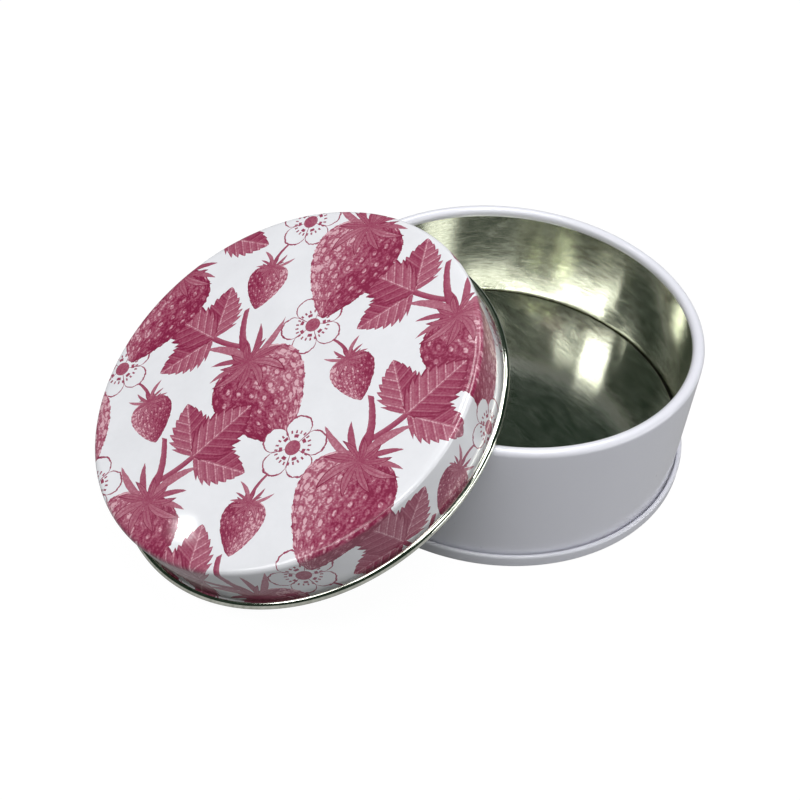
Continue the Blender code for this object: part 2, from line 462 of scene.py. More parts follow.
def tinplate(name, grain_across, grain_along, spread_way, spread_share, depth, roughness):
    """Tinplate with a grain. Streaks, hairlines and blotches are noise with so many cells to a millimetre
    along the grain and across it, and the tint, the roughness and the bump are weighted sums of them.
    Spread_way is the direction in which the sheet spreads reflections, and spread_share says how much more
    it does so than along the grain."""
    material, shader, where = new_finish(name)
    along = grain_along(where)
    across = grain_across(where)

    def grain(cells, layer, detail):
        """Noise that is stretched by its two numbers of cells, from a layer of its own."""
        return (along * cells[0]).joined(across * cells[1], layer).cloud(1.0, detail)

    streaks = grain(STREAK_CELLS, 0.0, 2.0)
    hairlines = grain(HAIRLINE_CELLS, 7.0, 1.0)
    blotches = grain(BLOTCH_CELLS, 3.0, 3.0)
    link(shader, "Base Color", (blotches * 0.8 + streaks * 0.7 + hairlines * 0.9 + 0.5).colour(TIN_TINT))
    link(shader, "Roughness", blotches * 0.08 + streaks * 0.06 + roughness)
    waves = where.cloud(WAVE_CELLS, 1.0).bump(WAVE_DEPTH)
    mottle = blotches.bump(depth * 1.6, waves)
    link(shader, "Normal", (streaks * 1.3 + hairlines * 0.8).bump(depth, mottle))
    spread = where.node("ShaderNodeCombineXYZ")
    for socket, value in zip(spread.inputs, spread_way):
        socket.default_value = value
    link(shader, "Tangent", Wire(where.tree, spread.outputs[0]))
    shader.inputs["Anisotropic"].default_value = spread_share
    shader.inputs["Metallic"].default_value = 1.0
    return material


def round_the_tin(where):
    """Millimetres round the wall: the angle about the tin's axis times the wall's radius."""
    x, y, _ = where.split()
    return (y - tin_middle[1] / MM).angle_to(x - tin_middle[0] / MM) * (BODY_RADIUS / MM)


def up_the_tin(where):
    """Millimetres up the wall, which is the height."""
    return where.split()[2]


def across_the_sheet(turn):
    """A rule for millimetres along a level direction, turned by that many degrees from +X: x times the
    cosine plus y times the sine."""
    def direction(where):
        x, y, _ = where.split()
        return x * cos(radians(turn)) + y * sin(radians(turn))
    return direction


ACROSS_THE_GRAIN = 40.0
across_the_floor = (cos(radians(ACROSS_THE_GRAIN)), sin(radians(ACROSS_THE_GRAIN)), 0.0)
wall_tinplate = tinplate("bare tinplate on the wall", up_the_tin, round_the_tin, (0.0, 0.0, 1.0),
                         spread_share=0.8, depth=0.0075 * MM, roughness=0.145)
floor_tinplate = tinplate("bare tinplate on the floor", across_the_sheet(ACROSS_THE_GRAIN),
                          across_the_sheet(ACROSS_THE_GRAIN - 90.0), across_the_floor,
                          spread_share=0.8, depth=0.0075 * MM, roughness=0.15)
lid_tinplate = tinplate("bare tinplate on the lid", across_the_sheet(90.0), across_the_sheet(0.0),
                        (0.0, 1.0, 0.0), spread_share=0.2, depth=0.001 * MM, roughness=0.09)
print("each tinplate takes", len(wall_tinplate.node_tree.nodes), "nodes")

# %% [markdown]
# ## Painted shade in the panel gap
#
# A ring of dark rubbery compound is poured into the bottom's edge before it is seamed on. The narrow gap
# round the raised panel is in shade and reads as a dark line, so its walls get a dark, dull material as
# painted shade. It could be left to shadow, but light that bounces between two bare walls would fill it.

# %% Painted shade in the panel gap
# painted shade: the dark tints laid on the walls of the gap round the panel
GAP_SHADE_COLOURS = ((0.2, (30, 30, 24)), (0.8, (58, 57, 46)))


def painted_shade_in_the_gap():
    """Painted shade in the gap round the panel: dark and dull, with noise of three sizes for tint, gloss and
    surface.
    """
    material, shader, where = new_finish("dark painted gap shade")
    link(shader, "Base Color", (where.cloud(0.8) + 0.5).colour(GAP_SHADE_COLOURS))
    link(shader, "Roughness", where.cloud(1.5) * 0.2 + 0.5)
    link(shader, "Normal", where.cloud(2.0).bump(0.05 * MM))
    return material


painted_gap_shade = painted_shade_in_the_gap()
print("the painted gap shade takes", len(painted_gap_shade.node_tree.nodes), "nodes")

# %% [markdown]
# ## The body
#
# One strip is rolled into a wall and joined with a flat lock seam down the back. Its top edge is curled in,
# so the lacquered outside of the sheet shows all round the rim. Its lower edge is turned out into a hook
# that the bottom's edge is folded round. The section goes from the hook's tip up the wall and round the
# curl.

# %% The body's section
BODY_HEIGHT = 30.8 * MM
RIM_CURL = 1.22 * MM
RIM_CURL_END = 295.0
SEAM_RADIUS = 41.3 * MM
SEAM_HEIGHT = 2.9 * MM
HOOK_BEND = (SEAM_RADIUS - BODY_RADIUS) / 3
HOOK_LOW = 1.01 * MM
HOOK_TIP = 2.15 * MM
WALL = BODY_RADIUS - SHEET / 2
LOCK_LOW = 8.0 * MM
LOCK_HIGH = 27.4 * MM
GAP_TOP = 5.6 * MM
A_HAIR = 0.01 * MM
wall_heights = (4.0 * MM, GAP_TOP, 7.7 * MM, LOCK_LOW, 14.0 * MM, 21.0 * MM, LOCK_HIGH, 27.7 * MM)
wall_rows = np.array([[WALL, height] for height in wall_heights])
body_line = np.vstack([
    [[WALL + 2 * HOOK_BEND, HOOK_TIP]],
    bend((WALL + HOOK_BEND, HOOK_LOW), HOOK_BEND, 0.0, -180.0),
    wall_rows,
    bend((BODY_RADIUS - RIM_CURL, BODY_HEIGHT - RIM_CURL), RIM_CURL - SHEET / 2, 0.0, RIM_CURL_END),
])
inside_face, outside_face = both_faces(body_line)
body_outline = np.vstack([outside_face[::-1], inside_face])
# the third finish is painted shade for the walls of the gap round the panel
LACQUER, BARE, SHADE_IN_THE_GAP = 0, 1, 2
body_finishes = np.array([LACQUER] * (len(body_line) - 1) + [BARE] * (len(body_line) + 1))
# the bare inside of the wall below the top of the gap gets the painted shade
body_finishes[(body_finishes == BARE) & (body_outline[:, 1] < GAP_TOP - A_HAIR)] = SHADE_IN_THE_GAP
print("the body's section has", len(body_outline), "points")

# %% The lock seam, pressed into the columns where it runs
LOCK_SEAM_ANGLE = 165.0
LOCK_SEAM_WIDTH = 4.2 * MM
LOCK_SEAM_DEPTH = 0.35 * MM
LOCK_SEAM_STEP = 0.3 * MM
CREASE_PLACE = 1.8 * MM
CREASE_DEPTH = 0.11 * MM
CREASE_WIDTH = 0.16 * MM
CLOSE_COLUMNS = 3.8 * MM
to_one_side = np.array([0.6, 1.2, 1.5, 1.65, 1.8, 1.95, 2.1, 2.25, 2.5, 2.9, 3.4])
near_seam = np.concatenate([-to_one_side[::-1], [0.0], to_one_side]) * MM / BODY_RADIUS
plain_turn = np.linspace(-pi, pi, COLUMNS, endpoint=False)
plain_turn = plain_turn[np.abs(plain_turn) * BODY_RADIUS > CLOSE_COLUMNS]
from_seam = np.sort(np.concatenate([plain_turn, near_seam]))
body_grid = turned_grid(body_outline, from_seam + radians(LOCK_SEAM_ANGLE))


def rise(value, low, high):
    """A smooth step from 0 at low to 1 at high: three times t squared, less twice t cubed."""
    t = np.clip((value - low) / (high - low), 0, 1)
    return t * t * (3 - 2 * t)


sideways = from_seam * BODY_RADIUS
fold = 1 - rise(np.abs(sideways), LOCK_SEAM_WIDTH / 2 - LOCK_SEAM_STEP, LOCK_SEAM_WIDTH / 2)
crease = np.exp(-((sideways - CREASE_PLACE) / CREASE_WIDTH) ** 2)
heights = body_outline[:, 1]
inner_wall = np.abs(body_outline[:, 0] - (BODY_RADIUS - SHEET)) < A_HAIR
outer_wall = np.abs(body_outline[:, 0] - BODY_RADIUS) < A_HAIR
fold_rows = inner_wall & (heights > LOCK_LOW - A_HAIR) & (heights < LOCK_HIGH + A_HAIR)
push = fold_rows[:, None] * fold * LOCK_SEAM_DEPTH + outer_wall[:, None] * crease * CREASE_DEPTH
shrink = 1 - push / body_outline[:, :1]
body_grid[..., :2] *= shrink[..., None]
print("columns round the body:", len(from_seam), "- rows that the fold moves:", int(fold_rows.sum()))

# %% The body's mesh
# the rows are taken the other way round, so that the faces look outwards, and their finishes with them
turned_over = np.roll(body_finishes[::-1], -1)
tin_wall, _ = mesh_from_rows("tin_wall_and_rim", body_grid[::-1], turned_over, True, on_the_tin,
                             [wall_lacquer, wall_tinplate, painted_gap_shade])
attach(tin_wall, "tin")
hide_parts("body_shell")

# %% [markdown]
# ## The bottom
#
# The bottom is a shallow plug. Its panel stands 7 mm up inside the wall. It is flat in the middle and falls
# a little towards its edge, so the edge mirrors other parts of the room. The plug's side goes down
# close to the wall, and its edge runs under the foot, up outside the body's hook and down between hook and
# wall. That is the double seam. It is one turned section as well, from the middle of the panel outwards.

# %% The bottom's section and mesh
PLUG_GAP = 0.35 * MM
PANEL_HEIGHT = 7.0 * MM
PLUG = BODY_RADIUS - SHEET - PLUG_GAP - SHEET / 2
PANEL = PANEL_HEIGHT - SHEET / 2
SHOULDER = 0.32 * MM
CROWN_START = 26.0 * MM
CROWN_SLOPE = 8.0
crown_end = PLUG - SHOULDER + SHOULDER * sin(radians(CROWN_SLOPE))
seam_outside = SEAM_RADIUS - SHEET / 2
FOOT_BEND = 0.35 * MM
EDGE_BEND = 0.45 * MM
FOLD_BEND = 0.36 * MM
FOLD_TIP = 1.15 * MM
FLAT_ROWS = 10
CROWN_ROWS = 15
fold_height = SEAM_HEIGHT - SHEET / 2 - FOLD_BEND
# the crown falls by the square of the way out, and reaches its slope at the edge
crown_radii = np.linspace(CROWN_START, crown_end, CROWN_ROWS)
crown_fall = (crown_radii - CROWN_START) ** 2 / (crown_end - CROWN_START) * tan(radians(CROWN_SLOPE)) / 2
edge_height = PANEL - crown_fall[-1] - SHOULDER * cos(radians(CROWN_SLOPE))
print("the panel falls by", round(crown_fall[-1] / MM, 2), "mm towards its edge")
bottom_line = np.vstack([
    [[0.0, PANEL]],
    straight((0.0, PANEL), (CROWN_START, PANEL), FLAT_ROWS),
    np.stack([crown_radii, PANEL - crown_fall], 1)[:-1],
    bend((PLUG - SHOULDER, edge_height), SHOULDER, 90.0 - CROWN_SLOPE, 0.0),
    bend((PLUG + FOOT_BEND, SHEET / 2 + FOOT_BEND), FOOT_BEND, 180.0, 270.0),
    bend((seam_outside - EDGE_BEND, SHEET / 2 + EDGE_BEND), EDGE_BEND, 270.0, 360.0),
    bend((seam_outside - FOLD_BEND, fold_height), FOLD_BEND, 0.0, 180.0),
    [[seam_outside - 2 * FOLD_BEND, FOLD_TIP]],
])
upper_face, lower_face = both_faces(bottom_line)
upper_face[0, 0] = 0.0
lower_face[0, 0] = 0.0
bottom_outline = np.vstack([upper_face, lower_face[::-1]])
bottom_finishes = np.array([BARE] * len(bottom_line) + [LACQUER] * (len(bottom_line) - 1))
# the plug's side below the panel's edge, inside the gap, gets the painted shade
below_the_edge = upper_face[:, 1] < edge_height
bottom_finishes[:len(bottom_line)][below_the_edge] = SHADE_IN_THE_GAP
even_turn = np.linspace(0, 2 * pi, COLUMNS, endpoint=False)
bottom_grid = turned_grid(bottom_outline, even_turn)
WAVE_HEIGHT = 0.05 * MM
WAVES_FADE = (0.55, 0.97)


def gentle_waves(x, y, reach):
    """How a thin flat panel really lies: WAVE_HEIGHT times the sum of three sines that slant across it. They
    fade out by a smooth step between two shares of its reach."""
    u = x / reach
    v = y / reach
    waves = np.sin(2.1 * u + 1.3 * v + 0.4)
    waves += 0.7 * np.sin(3.4 * v - 1.9 * u + 1.7)
    waves += 0.5 * np.sin(4.6 * u + 0.9)
    return waves * (1 - rise(np.hypot(u, v), *WAVES_FADE)) * WAVE_HEIGHT


panel_rows = (bottom_outline[:, 1] > edge_height) & (bottom_outline[:, 0] < PLUG - SHOULDER)
panel_waves = gentle_waves(bottom_grid[..., 0], bottom_grid[..., 1], PLUG)
bottom_grid[..., 2] += panel_rows[:, None] * panel_waves
tin_bottom, _ = mesh_from_rows("tin_bottom_and_seam", bottom_grid, bottom_finishes, False, on_the_tin,
                               [bottom_lacquer, floor_tinplate, painted_gap_shade])
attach(tin_bottom, "tin")
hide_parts("bottom_end")

# %% [markdown]
# ## The lid's shape
#
# The lid is pressed from a printed disc: a flat top that slopes off a little before a tight corner, a
# straight skirt, and an edge curled outwards. The slope shows as a soft light band inside the sharp line of
# the corner. Because the edge curls out, the bare inside shows all round the bead. The disc's margin,
# which is rolled up inside the bead, isn't printed. The section starts at the middle of the top. Every point
# also remembers where it lay on the flat disc before pressing, which is how far it is from the middle along
# the sheet. The print needs that.

# %% The lid's section
LID_RADIUS = 40.8 * MM
LID_CORNER = 0.95 * MM
SOFT_BEND = 4.0 * MM
SOFT_SLOPE = 14.0
LID_BEAD = 0.875 * MM
BEAD_END = 455.0
BARE_MARGIN = 0.25 * MM
TOP_ROWS = 26
SKIRT_ROWS = 8
SKIRT = LID_RADIUS - SHEET / 2
top_height = LID_HEIGHT - SHEET / 2
corner_bend = LID_CORNER - SHEET / 2
soft_bend = SOFT_BEND - SHEET / 2
flat_reach = SKIRT - corner_bend - (soft_bend - corner_bend) * sin(radians(SOFT_SLOPE))
corner_height = top_height - soft_bend + (soft_bend - corner_bend) * cos(radians(SOFT_SLOPE))
lid_line = np.vstack([
    [[0.0, top_height]],
    straight((0.0, top_height), (flat_reach, top_height), TOP_ROWS),
    bend((flat_reach, top_height - soft_bend), soft_bend, 90.0, 90.0 - SOFT_SLOPE)[:-1],
    bend((SKIRT - corner_bend, corner_height), corner_bend, 90.0 - SOFT_SLOPE, 0.0),
    straight((SKIRT, corner_height), (SKIRT, LID_BEAD), SKIRT_ROWS),
    bend((SKIRT + LID_BEAD - SHEET / 2, LID_BEAD), LID_BEAD - SHEET / 2, 180.0, BEAD_END),
])
printed_face, bare_face = both_faces(lid_line)
printed_face[0, 0] = 0.0
bare_face[0, 0] = 0.0
lid_outline = np.vstack([printed_face, bare_face[::-1]])
PRINTED = 0
lid_finishes = np.array([PRINTED] * (len(lid_line) - 1) + [BARE] * len(lid_line))
in_the_bead = printed_face[:-1, 0] > LID_RADIUS + BARE_MARGIN
lid_finishes[:len(lid_line) - 1][in_the_bead] = BARE
lid_grid = turned_grid(lid_outline, even_turn)
along_sheet = np.concatenate([[0], np.cumsum(np.linalg.norm(np.diff(lid_line, axis=0), axis=1))])
flat_distance = np.concatenate([along_sheet, along_sheet[::-1]])
print("the pressed disc was", round(2 * along_sheet[-1] / MM, 1), "mm across")

# %% [markdown]
# ## The lid's print
#
# The disc is printed flat, in one ink: a repeat of strawberries, leaves and blossoms in raspberry on white.
# A picture file could carry it, but a drawn pattern stays sharp at any size and is made of nothing but
# formulas. Each motif is a rule for how far inside its outline a point lies, with a tone for the ink. The
# plan is one sprig to a cell, and a second set of cells between the first with the sprigs turned over.
# All coordinates are millimetres on the flat disc.

# %% Tools for drawing: own coordinates, laying over, and a ring of pointed leaves
def placed(x, y, at, turn, size=1.0):
    """A motif's own coordinates: the point less the motif's place, turned back and divided by its size."""
    a = x - at[0]
    b = y - at[1]
    c = cos(radians(turn)) / size
    s = sin(radians(turn)) / size
    return a * c + b * s, b * c - a * s


def laid_over(drawing, mask, tone, ink=1.0):
    """One shape over what is there. Its mask hides what is below, and its ink is 0 where it stays white."""
    covered, inked, below = drawing
    rest = 1.0 - mask
    return covered.most(mask), inked * rest + mask * ink, below * rest + mask * tone


def pointed_leaves(x, y, count, reach, lift, twist, sharpness, seed):
    """A ring of pointed leaves. The angle is cut into equal sectors, and a leaf fills its sector near the
    middle and thins to its tip: inside is the nearness to the sector's spine, less distance over reach to
    the power of the sharpness. Lift makes the upper leaves longer."""
    r = (x * x + y * y).root()
    turn = (x.angle_to(y) + r * twist) * (count / (2 * pi)) + seed
    number = (turn + 0.5).floor()
    spine = 1.0 - (turn - number).size() * 2.0
    luck = (number + seed * 7.0).chance()
    upward = y / (r + 0.01)
    far = r / ((luck * 0.45 + 0.75) * reach * (upward * lift + 1.0))
    return spine - far ** sharpness, luck, far, spine


# %% Stamps: a motif is drawn once, in a node group, and then used wherever it is wanted
NOISES = ("ragged", "mottle", "fine")


def stamp(name, draw):
    """A node group that draws a motif from its own coordinates and three noises, on nothing."""
    group = bpy.data.node_groups.new(name, 'ShaderNodeTree')
    for label in ("x", "y", *NOISES):
        group.interface.new_socket(label, in_out='INPUT', socket_type='NodeSocketFloat')
    for label in ("mask", "ink", "tone"):
        group.interface.new_socket(label, in_out='OUTPUT', socket_type='NodeSocketFloat')
    entry = group.nodes.new("NodeGroupInput")
    x, y, *noises = [Wire(group, socket) for socket in entry.outputs[:2 + len(NOISES)]]
    nothing = x * 0.0
    drawing = draw((nothing, nothing, nothing), x, y, *noises)
    leave = group.nodes.new("NodeGroupOutput")
    for socket, wire in zip(leave.inputs, drawing):
        group.links.new(wire.socket, socket)
    print(name, "takes", len(group.nodes), "nodes")
    return group


def stamped(drawing, group, x, y, noises):
    """The drawing with one motif laid over it at these coordinates."""
    made = x.node("ShaderNodeGroup", node_tree=group)
    for socket, wire in zip(made.inputs, (x, y, *noises)):
        x.plug(socket, wire)
    mask, ink, tone = [Wire(x.tree, socket) for socket in made.outputs]
    return laid_over(drawing, mask, tone, ink)


# %% The strawberry
HALF_TALL = 12.3
HALF_WIDE = 9.9
SEED_ROW = 4.5


def strawberry(x, y, ragged, mottle, fine):
    """The half width is HALF_WIDE times s to 0.72, where s is the sine of pi times (1 - t) to 0.6, and t goes
    from 0 at the tip to 1 at the top. Seeds lie on two crossed lattices of longitude and height, each in a
    dimple, and the fruit is darker on one side, along its edge and between the dimples. Fine engraved lines
    run round it."""
    t = ((y + HALF_TALL) * (0.5 / HALF_TALL)).kept(0.001, 0.999)
    half = ((((1.0 - t) ** 0.6) * pi).sine() ** 0.72) * HALF_WIDE
    inside = (half - x.size() + ragged * 0.5).least(y + HALF_TALL).least(HALF_TALL - y)
    along = (x / (half + 0.05)).kept(-1.0, 1.0)
    longitude = along.arcsine()
    u = longitude * (7 / pi)
    v = (y + x * x * 0.016) * (1 / SEED_ROW)
    narrow = longitude.cosine() * 4.4
    across_a = ((u + 0.5).part() - 0.5) * narrow
    across_b = (u.part() - 0.5) * narrow
    up_a = ((v + 0.5).part() - 0.5) * SEED_ROW
    up_b = (v.part() - 0.5) * SEED_ROW
    to_a = (across_a * across_a + up_a * up_a * 0.55).root()
    to_b = (across_b * across_b + up_b * up_b * 0.55).root()
    nearest = to_a.least(to_b)
    b_nearer = to_a.above(to_b)
    height = up_a * (1.0 - b_nearer) + up_b * b_nearer
    between = 1.0 - (to_a - to_b).size().smooth(0.0, 0.75)
    dimple = 1.0 - nearest.smooth(0.4, 1.75)
    rim = nearest.smooth(0.45, 0.6) * (1.0 - nearest.smooth(0.62, 0.95))
    seed = 1.0 - nearest.smooth(0.30, 0.52)
    tone = along * 0.30 + 0.44 + t * 0.12 + mottle * 0.5 + fine * 0.55
    engraved = (longitude * 34.0 + v * 3.0).sine() * 0.09
    tone = tone - between * 0.16 + dimple * (0.05 - height * 0.10) - rim * 0.22 + seed * 0.30 + engraved
    return inside.above(0.0), tone - (1.0 - inside.smooth(0.1, 0.9)) * 0.16


def berry_sprig(drawing, x, y, ragged, mottle, fine):
    """A bent stem, the fruit, and two rings of leaves on its shoulder, the back one standing up."""
    up = y - 12.0
    bow = x - up * up * 0.030 + ragged * 0.15
    stem = (0.95 - up * 0.028 - bow.size()).above(0.0) * y.above(11.0) * (1.0 - y.above(23.5))
    drawing = laid_over(drawing, stem, bow * 0.22 + 0.40 + fine * 0.2)
    drawing = laid_over(drawing, *strawberry(x, y, ragged, mottle, fine))
    v = (y - 10.4) * 1.18
    edge = ragged * 0.06
    inside, luck, far, spine = pointed_leaves(x, v, 12, 8.2, 0.42, 0.03, 1.25, 0.37)
    drawing = laid_over(drawing, (inside + edge).above(0.0), luck * 0.30 + spine * 0.10 + 0.26 + fine * 0.25)
    inside, luck, far, spine = pointed_leaves(x, v, 9, 7.6, -0.12, -0.05, 1.15, 0.11)
    inside = inside + edge
    outline = inside.above(-0.10)
    drawing = laid_over(drawing, outline, outline * 0.06)
    tone = luck * 0.22 + far * 0.22 + 0.26 + spine.smooth(0.0, 0.25) * 0.1 - spine.above(0.88) * 0.16
    return laid_over(drawing, inside.above(0.0), tone + fine * 0.25)


berry_stamp = stamp("strawberry with its stem", berry_sprig)


# %% The leaf and the blossom
def leaflet(x, y, long, wide, ragged, fine):
    """A toothed leaflet. The half width is half of wide times s to 0.85, where s is the sine of pi times t to
    0.78, cut back by a saw edge. A light vein runs up the middle, and side veins slant forwards."""
    t = (y * (1 / long)).kept(0.001, 0.999)
    slant = y - x.size() * 0.75
    tooth = ((y - x.size() * 0.35) * (1 / 1.75)).part()
    half = (((t ** 0.78) * pi).sine() ** 0.85) * (wide / 2) * (tooth * 0.24 + 0.80)
    inside = (half - x.size() + ragged * 0.12).least(y).least(long - y)
    step = (slant * (1 / 2.1)).part() - 0.5
    vein = (1.0 - x.size().smooth(0.12, 0.34)).most((1.0 - step.size().smooth(0.04, 0.14)) * 0.8)
    tone = x.above(0.0) * 0.20 + step * 0.16 + 0.30 + (slant * (2 * pi / 0.7)).sine() * 0.08
    return inside, tone + fine * 0.28 + vein * 0.30 - (1.0 - inside.smooth(0.05, 0.5)) * 0.12


def leaf_of_three(drawing, x, y, ragged, mottle, fine):
    """Three leaflets on a stalk. The two at the sides are one leaflet, folded over by the size of x."""
    bow = x - y * y * 0.02
    stalk = (0.62 - bow.size()).above(0.0) * (1.0 - y.above(0.5)) * y.above(-8.5)
    drawing = laid_over(drawing, stalk, bow * 0.3 + 0.38 + fine * 0.2)
    u, v = placed(x.size(), y, (0.4, 0.0), -64)
    inside, tone = leaflet(u, v, 12.5, 9.0, ragged, fine)
    drawing = laid_over(drawing, inside.above(0.0), tone)
    inside, tone = leaflet(x, y, 14.5, 10.0, ragged, fine)
    shade = inside.above(-0.45) * y.above(0.3)
    drawing = laid_over(drawing, shade, shade * 0.08)
    return laid_over(drawing, inside.above(0.0), tone)


def blossom(drawing, x, y, ragged, mottle, fine):
    """Five petals: the reach is 3.7 mm plus 2.9 mm times the size of the cosine of 2.5 angles to 0.55. Only
    the outline, the gaps, some strokes and the heart are inked."""
    r = (x * x + y * y).root()
    angle = x.angle_to(y)
    petal = (angle * 2.5).cosine().size()
    inside = (petal ** 0.55) * 2.9 + 3.7 + ragged * 0.35 - r
    line = 1.0 - inside.smooth(0.28, 0.42)
    gap = 1.0 - petal.smooth(0.06, 0.11)
    strokes = ((angle * 22.0).sine() * 0.5 + 0.5).above((r * (1 / 4.6)).least(1.0) + fine * 0.3)
    strokes = strokes * r.above(2.9) * (1.0 - r.above(3.54))
    heart = 1.0 - r.above(1.5)
    dots = (1.0 - (r - 2.35).size().smooth(0.25, 0.40)) * (angle * 7.0).cosine().above(0.25)
    ink = line.most(gap).most(strokes).most(heart).most(dots).above(0.5)
    return laid_over(drawing, inside.above(0.0), fine * 0.4 + 0.35 + heart * 0.12, ink)


leaf_stamp = stamp("leaf of three", leaf_of_three)
blossom_stamp = stamp("blossom", blossom)

# %% The repeat
CELL_WIDE = 43.0
CELL_TALL = 55.0
# the window of a cell is lifted, so that no motif reaches past its edge
WINDOW_LIFT = 4.0
SPRIG = (
    (leaf_stamp, (-9.5, 9.0), 52.0, 1.0),
    (blossom_stamp, (12.6, 6.6), 15.0, 1.05),
    (berry_stamp, (1.0, 19.5), -16.0, 0.46),
    (berry_stamp, (3.5, -8.5), 24.0, 1.0),
)


def sprigs(drawing, x, y, shift, turned_over, noises):
    """One sprig in each cell: the coordinates start again in every cell, a cell wide and a cell tall. Each
    motif of the sprig has its stamp, its place in the cell, its turn in degrees and its size."""
    cx = (((x + shift[0]) * (1 / CELL_WIDE) + 0.5).part() - 0.5) * CELL_WIDE
    cy = (((y + shift[1] - WINDOW_LIFT) * (1 / CELL_TALL) + 0.5).part() - 0.5) * CELL_TALL + WINDOW_LIFT
    if turned_over:
        cx = cx * -1.0
    for motif, at, turn, size in SPRIG:
        drawing = stamped(drawing, motif, *placed(cx, cy, at, turn, size), noises)
    return drawing


FIRST_SPRIG = (6.0, -4.0)
SHORT_OF_HALF = 1.5
SECOND_SPRIG = (FIRST_SPRIG[0] + CELL_WIDE / 2 - SHORT_OF_HALF, FIRST_SPRIG[1] + CELL_TALL / 2)


def whole_print(x, y):
    """Both sets of sprigs. The noises are for ragged edges, for the tone and for the ink's fine grit."""
    noises = (x.joined(y, 0.0).cloud(1.1) * 2.2, x.joined(y, 5.0).cloud(0.42) * 2.0,
              x.joined(y, 9.0).cloud(2.6) * 2.2)
    nothing = x * 0.0
    drawing = sprigs((nothing, nothing, nothing), x, y, FIRST_SPRIG, False, noises)
    return sprigs(drawing, x, y, SECOND_SPRIG, True, noises)


print("a cell of the print is", CELL_WIDE, "by", CELL_TALL, "mm")

# %% The printed finish
INK = ((0.0, (131, 28, 67)), (0.2, (148, 53, 86)), (0.45, (160, 77, 103)), (0.7, (174, 103, 123)),
       (0.88, (191, 131, 148)), (1.0, (219, 174, 185)))
PAPER_WHITE = (237, 237, 242)
PAPER_STEPS = 6
INK_CONTRAST = 1.35
INK_MIDDLE = 0.45
INK_LIFT = 0.46


def printed_sheet():
    """The print's cover mixes the white with the ink, whose tone is stretched about its middle by the ink's
    contrast. The inked parts are a little duller. Gloss varnish lies over both."""
    material, shader, where = new_finish("raspberry print on white under gloss varnish")
    flat = where.node("ShaderNodeAttribute", attribute_name="flat_disc")
    x, y, _ = Wire(where.tree, flat.outputs["Vector"]).split()
    _, cover, tone = whole_print(x, y)
    ink = ((tone - INK_MIDDLE) * INK_CONTRAST + INK_LIFT).kept(0.0, 1.0).colour(INK)
    patches = where.cloud(0.13, 3.0) + where.cloud(0.9, 2.0) * 0.3
    white = (patches + 0.5).colour([(0.25, [v - PAPER_STEPS for v in PAPER_WHITE]), (0.7, PAPER_WHITE)])
    specks = specks_on(where, spacing=5.0, share=0.10, radius=0.13)
    link(shader, "Base Color", cover.blended((specks * 0.8).blended(white, SPECK_GREY), ink))
    link(shader, "Roughness", cover * 0.05 + where.cloud(0.5) * 0.08 + 0.30)
    link(shader, "Normal", orange_peel(where, 0.7, 3.0, 0.010 * MM))
    shader.inputs["IOR"].default_value = GLOSS_IOR
    shader.inputs["Coat Weight"].default_value = 0.6
    shader.inputs["Coat Roughness"].default_value = 0.07
    return material


printed_lid = printed_sheet()
print("nodes in the print:", len(printed_lid.node_tree.nodes))

# %% The lid's mesh, with each point's place on the flat disc
top_rows = (lid_outline[:, 1] > top_height - SHEET) & (lid_outline[:, 0] < flat_reach)
lid_waves = gentle_waves(lid_grid[..., 0], lid_grid[..., 1], LID_RADIUS)
lid_grid[..., 2] += top_rows[:, None] * lid_waves
lid_piece, kept_points = mesh_from_rows("printed_lid_with_bead", lid_grid, lid_finishes, False, on_the_lid,
                                        [printed_lid, lid_tinplate])
PRINT_TURN = radians(208.5)
flat_disc = np.stack([
    flat_distance[:, None] * np.cos(even_turn + PRINT_TURN) / MM,
    flat_distance[:, None] * np.sin(even_turn + PRINT_TURN) / MM,
    np.zeros((len(flat_distance), COLUMNS)),
], -1).reshape(-1, 3)[kept_points]
attribute = lid_piece.data.attributes.new("flat_disc", 'FLOAT_VECTOR', 'POINT')
attribute.data.foreach_set("vector", flat_disc.astype(np.float32).ravel())
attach(lid_piece, "lid")
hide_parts("lid")

# %% [markdown]
# ## The studio
#
# The camera looks down from in front on a white table. The lamps stand where the bare wall and floor of the
# tin show them: several high in a half circle in front, one overhead and two high behind. A long low one near
# the table on the right lights the outer wall, and a small one close by on the left makes the glint on the
# lid, which hides it from the inside of the tin. The large ones are soft, so that the edges of shadows and
# reflections are soft. The table is white for the camera and weaker in reflections, and it still takes the
# shadow. The rest of the room is dim and a little green, as the darkest metal shows.

# %% The camera, from where it stands and which ways are right and up in its picture
EYE = Vector((-1.063, -178.713, 183.142)) * MM
RIGHT = Vector((0.996906, 0.053907, 0.057205))
UP = Vector((-0.078602, 0.683696, 0.725521))
FILM_WIDTH = 36.0
LENS = 53.19
NEAREST = 0.01
camera_data = bpy.data.cameras.new("camera")
camera_data.sensor_width = FILM_WIDTH
camera_data.lens = LENS
camera_data.clip_start = NEAREST
camera = bpy.data.objects.new("camera", camera_data)
bpy.context.scene.collection.objects.link(camera)
back = RIGHT.cross(UP)
turn = Matrix((RIGHT, UP, back)).transposed()
camera.matrix_world = Matrix.Translation(EYE) @ turn.to_4x4()
bpy.context.scene.camera = camera
print("the camera looks down by", round(float(np.degrees(np.arcsin(back.z))), 1), "degrees")

# %% The floor
FLOOR_HALF = 3.0
FLOOR_HEIGHT = -0.03 * MM
FLOOR_SHADE = 0.25
FLOOR_GREY = (0.20, 0.20, 0.205, 1.0)
FLOOR_GLOW = 1.30
FLOOR_IN_MIRRORS = 0.2


